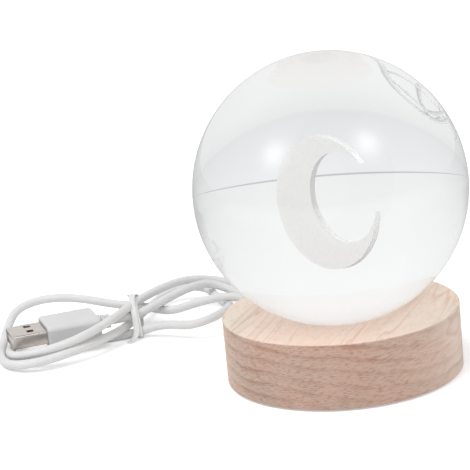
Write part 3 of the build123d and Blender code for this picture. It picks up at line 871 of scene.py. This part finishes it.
# Millimetres; each group of points is one run of the cord as it shows in the photograph.
LEAD_RUN = [
    (-16.7, 48.5, 5.6),
    (-16.6, 63.4, 5.1),
    (-19.7, 77.9, 3.4),
    (-27.1, 87.4, 3.5),
    (-37.0, 89.6, 6.8),
    (-48.5, 83.1, 9.6),
    (-59.3, 69.8, 9.5),
]
INNER_LEFT_LOOP = [
    (-65.2, 56.6, 9.8),
    (-69.8, 45.2, 9.7),
    (-77.7, 36.0, 8.1),
    (-87.0, 30.7, 6.4),
    (-95.3, 30.3, 5.1),
    (-101.8, 34.0, 3.7),
    (-104.3, 41.3, 2.7),
    (-104.3, 50.0, 2.0),
    (-98.6, 57.0, 1.7),
    (-89.6, 58.0, 1.6),
    (-82.0, 52.8, 1.5),
    (-73.6, 50.4, 1.45),
]
FRONT_RIGHT_LOOP = [
    (-64.2, 53.4, 1.5),
    (-55.0, 50.6, 4.5),
    (-45.8, 43.4, 5.0),
    (-36.8, 45.0, 7.1),
    (-32.2, 53.4, 7.6),
    (-34.2, 64.7, 4.9),
    (-36.2, 77.6, 3.2),
    (-39.9, 87.3, 4.5),
    (-46.5, 90.9, 4.8),
    (-54.2, 88.9, 3.7),
    (-58.7, 80.3, 3.0),
    (-62.8, 66.5, 3.4),
]
OUTER_LEFT_LOOP = [
    (-64.8, 60.8, 3.5),
    (-69.1, 46.7, 4.4),
    (-81.4, 32.0, 4.4),
    (-94.2, 26.3, 3.1),
    (-103.1, 30.1, 2.1),
    (-107.1, 40.6, 1.3),
    (-107.6, 55.2, 1.9),
    (-107.0, 69.7, 3.9),
    (-105.1, 79.8, 5.8),
    (-97.2, 83.9, 7.4),
    (-85.3, 79.8, 8.1),
    (-70.4, 70.0, 6.8),
]
BACK_RIGHT_LOOP = [
    (-61.0, 66.4, 6.3),
    (-52.5, 62.0, 4.9),
    (-43.5, 61.2, 7.4),
    (-32.4, 56.8, 10.2),
    (-24.0, 55.5, 7.3),
    (-18.6, 60.2, 3.2),
    (-18.3, 67.8, 1.2),
    (-24.0, 75.7, 1.9),
    (-32.1, 82.1, 4.7),
    (-39.6, 81.8, 8.1),
    (-46.0, 74.6, 8.8),
    (-51.6, 67.0, 8.8),
]
LAST_TURN = (-57.6, 59.8, 8.1)
PLUG_TIP = (-103.7, 42.9, 6.85)
PLUG_LENGTH = 33.0
EXIT_STEP = 3.5  # between the first points, straight out of the base
PLUG_RUN = 8.5  # straight run into the plug


def cord_points():
    """Control points of the cord in millimetres, from the base to the plug."""
    out = (math.cos(CORD_EXIT_ANGLE), math.sin(CORD_EXIT_ANGLE))
    points = []
    for step in range(3):
        far = BASE_RADIUS / MM + step * EXIT_STEP
        points.append((out[0] * far, out[1] * far, cord_level / MM))
    points += LEAD_RUN + INNER_LEFT_LOOP + FRONT_RIGHT_LOOP + OUTER_LEFT_LOOP + BACK_RIGHT_LOOP
    points.append(LAST_TURN)
    ahead = (math.cos(PLUG_ANGLE), math.sin(PLUG_ANGLE))
    for far in (PLUG_LENGTH + PLUG_RUN, PLUG_LENGTH):
        points.append((PLUG_TIP[0] + far * ahead[0], PLUG_TIP[1] + far * ahead[1], PLUG_TIP[2]))
    return points


def white_cord():
    """The cord as one smooth round line."""
    curve = bpy.data.curves.new("white_cord", "CURVE")
    curve.dimensions = "3D"
    points = cord_points()
    line = curve.splines.new("NURBS")
    line.points.add(len(points) - 1)
    for knot, point in zip(line.points, points):
        knot.co = (*[value * MM for value in point], 1.0)
    line.order_u = 3
    line.use_endpoint_u = True
    line.resolution_u = 8
    curve.bevel_depth = CORD_DIAMETER / 2
    curve.bevel_resolution = 6
    curve.use_fill_caps = True
    curve.materials.append(cord_pvc)
    cord = bpy.data.objects.new("white_cord", curve)
    bpy.context.collection.objects.link(cord)
    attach(cord, "base")
    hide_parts("cord_lead", "cord_hank")


white_cord()


# Table, light and camera

# The table has no back edge of its own: the glass shows one as a painted dark line across the
# table.
TABLE_BACK = 200 * MM  # back edge of the table, which shows as a line across the glass
TABLE_SLANT = 0.1  # of that edge, which runs a little nearer on the right
TABLE_SHOWN = 500 * MM  # depth over which the glass shows the table and the wall behind it
TABLE_HALF_SIZE = 3.0
LIT_POINT = (0, 0, 0.03)


def pale_floor():
    """White table, and what the glass shows of it in painted light and shade: lighter near the
    ball, a painted shade band behind it, its back edge as a painted dark line, the wall and painted
    greyer sides.
    """
    form = bmesh.new()
    bmesh.ops.create_grid(form, x_segments=1, y_segments=1, size=TABLE_HALF_SIZE)
    mesh = finished_mesh("pale_floor", form)
    material, tree = new_material("white_table")
    path = add(tree, "ShaderNodeLightPath").node.outputs
    white = add(tree, "ShaderNodeBsdfDiffuse", {"Color": linear("#F4F4F4")})
    place = add(tree, "ShaderNodeTexCoord", out="Object")
    # Far from the lamps the table would go grey, so it is lifted more there than near the object.
    far = add(tree, "ShaderNodeVectorMath", {0: place}, {"operation": "LENGTH"}, out="Value")
    level = add(
        tree, "ShaderNodeMapRange",
        {"Value": far, "From Min": 0.15, "From Max": 0.6, "To Min": 0.34, "To Max": 0.6},
    )
    lift = add(tree, "ShaderNodeEmission", {"Color": linear("#FFFFFF"), "Strength": level})
    bright = add(tree, "ShaderNodeAddShader", {0: white, 1: lift})
    axes = add(tree, "ShaderNodeSeparateXYZ", {"Vector": place}).node.outputs
    inward = (TABLE_SLANT / TABLE_SHOWN, 1 / TABLE_SHOWN, 0.0)
    depth = add(
        tree, "ShaderNodeVectorMath", {0: place, 1: inward}, {"operation": "DOT_PRODUCT"},
        out="Value",
    )
    edge = TABLE_BACK / TABLE_SHOWN
    # Painted light and shade, which only the glass shows: lighter near the ball, a painted shade
    # band behind it, and a painted dark line at the back edge.
    tone = add(
        tree, "ShaderNodeValToRGB", {"Fac": depth},
        stops=[
            (0.1, "#F4F4F4"),
            (0.18, "#F2F2F2"),
            (0.226, "#ECECEC"),
            (0.232, "#E5E6E8"),
            (0.25, "#E9EAEB"),
            (0.29, "#ECEDEE"),
            (0.36, "#F1F1F2"),
            (edge - 0.004, "#F1F1F2"),
            (edge - 0.002, "#C0C4C8"),
            (edge + 0.002, "#C0C4C8"),
            (edge + 0.005, "#F3F3F3"),
            (0.6, "#F5F5F5"),
            (1.0, "#F6F6F6"),
        ],
    )
    # Painted shade: the further it lies aside, for how far it lies behind, the greyer the glass
    # shows it.
    aside = add(tree, "ShaderNodeMath", {0: axes["X"]}, {"operation": "ABSOLUTE"})
    away = add(tree, "ShaderNodeMath", {0: axes["Y"], 1: 10 * MM})
    aside = add(tree, "ShaderNodeMath", {0: aside, 1: away}, {"operation": "DIVIDE"})
    aside = add(tree, "ShaderNodeMapRange", {"Value": aside, "From Min": 0.3, "From Max": 3.6})
    painted_side_shade = add(
        tree, "ShaderNodeValToRGB", {"Fac": aside},
        stops=[(0.0, "#FFFFFF"), (0.15, "#F6F6F6"), (0.36, "#EEEEEE"), (1.0, "#C8C8C8")],
    )
    painted_table_tone = add(tree, "ShaderNodeMix", {0: 1.0, 6: tone, 7: painted_side_shade}, MULTIPLY, out=2)
    through = add(tree, "ShaderNodeEmission", {"Color": painted_table_tone, "Strength": 1.0})
    # Painted reflection: glossy rays see the table behind as light grey, so the rim of the ball
    # shows a painted grey edge.
    behind = add(
        tree, "ShaderNodeMapRange",
        {"Value": axes["Y"], "From Min": 30 * MM, "From Max": 150 * MM},
    )
    painted_reflection_mask = add(
        tree, "ShaderNodeMath", {0: path["Is Glossy Ray"], 1: behind}, {"operation": "MULTIPLY"}
    )
    rim = add(tree, "ShaderNodeEmission", {"Color": linear("#C4C4C4"), "Strength": 1.0})
    seen = add(tree, "ShaderNodeMixShader", {0: path["Is Camera Ray"], 1: white, 2: bright})
    seen = add(tree, "ShaderNodeMixShader", {0: painted_reflection_mask, 1: seen, 2: rim})
    seen = add(tree, "ShaderNodeMixShader", {0: path["Is Transmission Ray"], 1: seen, 2: through})
    add(tree, "ShaderNodeOutputMaterial", {"Surface": seen})
    mesh.materials.append(material)
    floor = bpy.data.objects.new("pale_floor", mesh)
    bpy.context.collection.objects.link(floor)


def studio_world():
    """White studio: even soft light, white behind the lamp, painted round highlights and a painted
    brighter back in the gloss, and painted shade on the wall that the glass shows.
    """
    world = bpy.data.worlds.new("white_studio")
    world.use_nodes = True
    tree = world.node_tree
    tree.nodes.clear()
    path = add(tree, "ShaderNodeLightPath").node.outputs
    heading = add(tree, "ShaderNodeTexCoord", out="Generated")
    light = add(tree, "ShaderNodeBackground", {"Color": linear("#FFFFFF"), "Strength": 0.52})
    white = add(tree, "ShaderNodeBackground", {"Color": linear("#FFFFFF"), "Strength": 1.0})
    axes = add(tree, "ShaderNodeSeparateXYZ", {"Vector": heading}).node.outputs
    # Painted shade on the wall that the glass shows: slightly darker low and high, and greyer to
    # the sides.
    wall = add(
        tree, "ShaderNodeValToRGB", {"Fac": axes["Z"]},
        stops=[(0.0, "#F6F6F6"), (0.25, "#F9F9F9"), (0.6, "#FAFAFA"), (0.85, "#F6F6F6")],
    )
    aside = add(tree, "ShaderNodeMath", {0: axes["X"]}, {"operation": "ABSOLUTE"})
    painted_side_shade = add(
        tree, "ShaderNodeValToRGB", {"Fac": aside},
        stops=[(0.3, "#FFFFFF"), (0.6, "#F9F9F9"), (0.86, "#EDEDED"), (0.97, "#BCBCBC")],
    )
    wall = add(tree, "ShaderNodeMix", {0: 1.0, 6: wall, 7: painted_side_shade}, MULTIPLY, out=2)
    through = add(tree, "ShaderNodeBackground", {"Color": wall, "Strength": 1.0})
    # Painted reflections: the gloss sees a darker front and a brighter back, and two painted round
    # highlights.
    level = add(
        tree, "ShaderNodeMapRange",
        {"Value": axes["Y"], "From Min": -0.3, "From Max": 0.5, "To Min": 0.35, "To Max": 0.88},
    )
    painted_highlight_sharpness = 64.0
    painted_highlight_strength = 3.8
    for direction in ((-0.68, -0.41, 0.61), (0.49, -0.55, 0.68)):
        near = add(
            tree, "ShaderNodeVectorMath", {0: heading, 1: direction},
            {"operation": "DOT_PRODUCT"}, out="Value",
        )
        near = add(tree, "ShaderNodeMath", {0: near, 1: 0.0}, {"operation": "MAXIMUM"})
        painted_highlight = add(tree, "ShaderNodeMath", {0: near, 1: painted_highlight_sharpness}, {"operation": "POWER"})
        level = add(
            tree, "ShaderNodeMath", {0: painted_highlight, 1: painted_highlight_strength, 2: level},
            {"operation": "MULTIPLY_ADD"},
        )
    gloss = add(tree, "ShaderNodeBackground", {"Color": linear("#FFFFFF"), "Strength": level})
    # A ray that has passed through glass counts as glossy too, so the glossy light comes first.
    mixed = add(tree, "ShaderNodeMixShader", {0: path["Is Glossy Ray"], 1: light, 2: gloss})
    mixed = add(tree, "ShaderNodeMixShader", {0: path["Is Transmission Ray"], 1: mixed, 2: through})
    mixed = add(tree, "ShaderNodeMixShader", {0: path["Is Camera Ray"], 1: mixed, 2: white})
    add(tree, "ShaderNodeOutputWorld", {"Surface": mixed})
    bpy.context.scene.world = world


def soft_light(name, place, target, size, power):
    """A square softbox that faces a point; it is hidden from gloss and glass, and the round
    highlights in the gloss are painted into the world instead.
    """
    lamp = bpy.data.lights.new(name, "AREA")
    lamp.size = size
    lamp.energy = power
    box = bpy.data.objects.new(name, lamp)
    bpy.context.collection.objects.link(box)
    box.location = place
    box.rotation_euler = (Vector(target) - Vector(place)).to_track_quat("-Z", "Y").to_euler()
    box.visible_glossy = False
    box.visible_transmission = False


def photo_camera():
    """Camera at the photograph's place, tilted a little to the right."""
    distance = 524.583 * MM
    tilt = math.radians(14.487)
    roll = math.radians(5.672)
    aim = Vector((-28.751 * MM, 0, 44.182 * MM + FOOT_HEIGHT))
    ahead = Vector((0, math.cos(tilt), -math.sin(tilt)))
    right = Vector((1, 0, 0))
    up = Vector((0, math.sin(tilt), math.cos(tilt)))
    turned_right = right * math.cos(roll) - up * math.sin(roll)
    turned_up = right * math.sin(roll) + up * math.cos(roll)
    camera = bpy.data.cameras.new("photo_camera")
    camera.sensor_width = 36.0
    camera.sensor_fit = "HORIZONTAL"
    camera.lens = 137.9
    camera.clip_start = 0.01
    eye = bpy.data.objects.new("photo_camera", camera)
    bpy.context.collection.objects.link(eye)
    turn = Matrix((turned_right, turned_up, -ahead)).transposed().to_4x4()
    eye.matrix_world = Matrix.Translation(aim - ahead * distance) @ turn
    bpy.context.scene.camera = eye


pale_floor()
studio_world()
soft_light("key_softbox", (-0.45, -0.28, 0.97), LIT_POINT, size=0.6, power=6.5)
soft_light("fill_softbox", (0.4, -0.5, 0.8), LIT_POINT, size=0.5, power=1.9)
photo_camera()
bpy.context.scene.view_settings.view_transform = "Standard"
